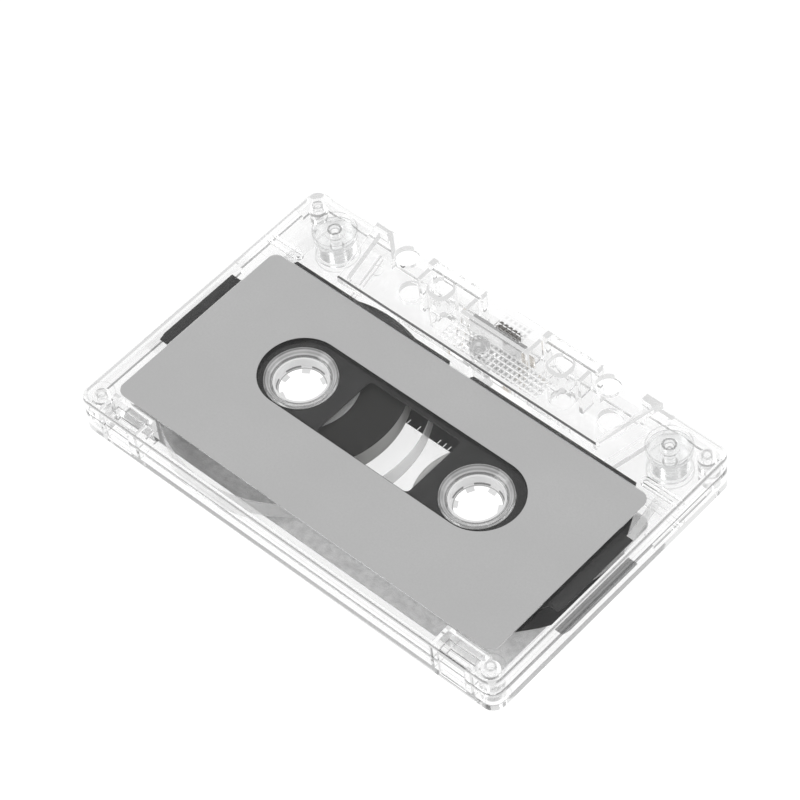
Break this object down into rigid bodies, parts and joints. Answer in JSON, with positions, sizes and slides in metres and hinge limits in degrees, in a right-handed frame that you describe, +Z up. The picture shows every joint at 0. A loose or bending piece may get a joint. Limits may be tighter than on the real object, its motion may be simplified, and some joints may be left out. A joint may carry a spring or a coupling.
{
  "type": "audio cassette tape",
  "caption": "Clear-shelled compact audio cassette with a plain grey label, toothed hubs, wound tape, guide rollers and a sprung pressure pad.",
  "frame": {"origin": "middle of the case in plan, at the underside of the raised head end", "axes": "+X along the length with the full reel at -X, +Y towards the head openings, +Z up"},
  "size_m": [0.1004, 0.0638, 0.012],
  "materials": {
    "shell": "clear polished polystyrene",
    "label": "matt grey paper",
    "liner": "dark graphite-coated film",
    "hub": "clear polished plastic",
    "clamp": "clear plastic",
    "tape": "dark wound magnetic tape, smooth",
    "leader": "milky translucent film",
    "roller": "clear plastic",
    "pad": "dense felt",
    "spring": "bronze leaf, satin",
    "shield": "satin rolled sheet"
  },
  "bodies": {
    "shell": {"shell_half_a": "shell", "shell_half_b": "shell", "label_a": "label", "label_b": "label", "liner_a": "liner", "liner_b": "liner", "leader_run": "leader", "shield_plate": "shield", "pad_spring": "spring"},
    "left_reel": {"hub_left": "hub", "hub_clamp_left": "clamp", "tape_pack_left": "tape"},
    "right_reel": {"hub_right": "hub", "hub_clamp_right": "clamp", "leader_turns_right": "leader"},
    "left_roller": {"guide_roller_left": "roller"},
    "right_roller": {"guide_roller_right": "roller"},
    "pad": {"pressure_pad": "pad"}
  },
  "joints": [
    {"name": "left_reel_spin", "type": "hinge", "parent": "shell", "child": "left_reel", "pos_m": [-0.02125, -0.0032, 0.006], "axis": [0, 0, 1], "continuous": true},
    {"name": "right_reel_spin", "type": "hinge", "parent": "shell", "child": "right_reel", "pos_m": [0.02125, -0.0032, 0.006], "axis": [0, 0, 1], "continuous": true},
    {"name": "left_roller_spin", "type": "hinge", "parent": "shell", "child": "left_roller", "pos_m": [-0.0404, 0.0263, 0.006], "axis": [0, 0, 1], "continuous": true},
    {"name": "right_roller_spin", "type": "hinge", "parent": "shell", "child": "right_roller", "pos_m": [0.0404, 0.0263, 0.006], "axis": [0, 0, 1], "continuous": true},
    {"name": "pad_press", "type": "slide", "parent": "shell", "child": "pad", "axis": [0, 1, 0], "range_m": [-0.0006, 0], "stiffness_N_per_m": 150, "deforming": ["pad_spring"]}
  ],
  "couplings": [
    {"joint": "right_reel_spin", "follows": "left_reel_spin", "ratio": 1.6667},
    {"joint": "left_roller_spin", "follows": "left_reel_spin", "ratio": 5.4054},
    {"joint": "right_roller_spin", "follows": "left_reel_spin", "ratio": 5.4054}
  ]
}
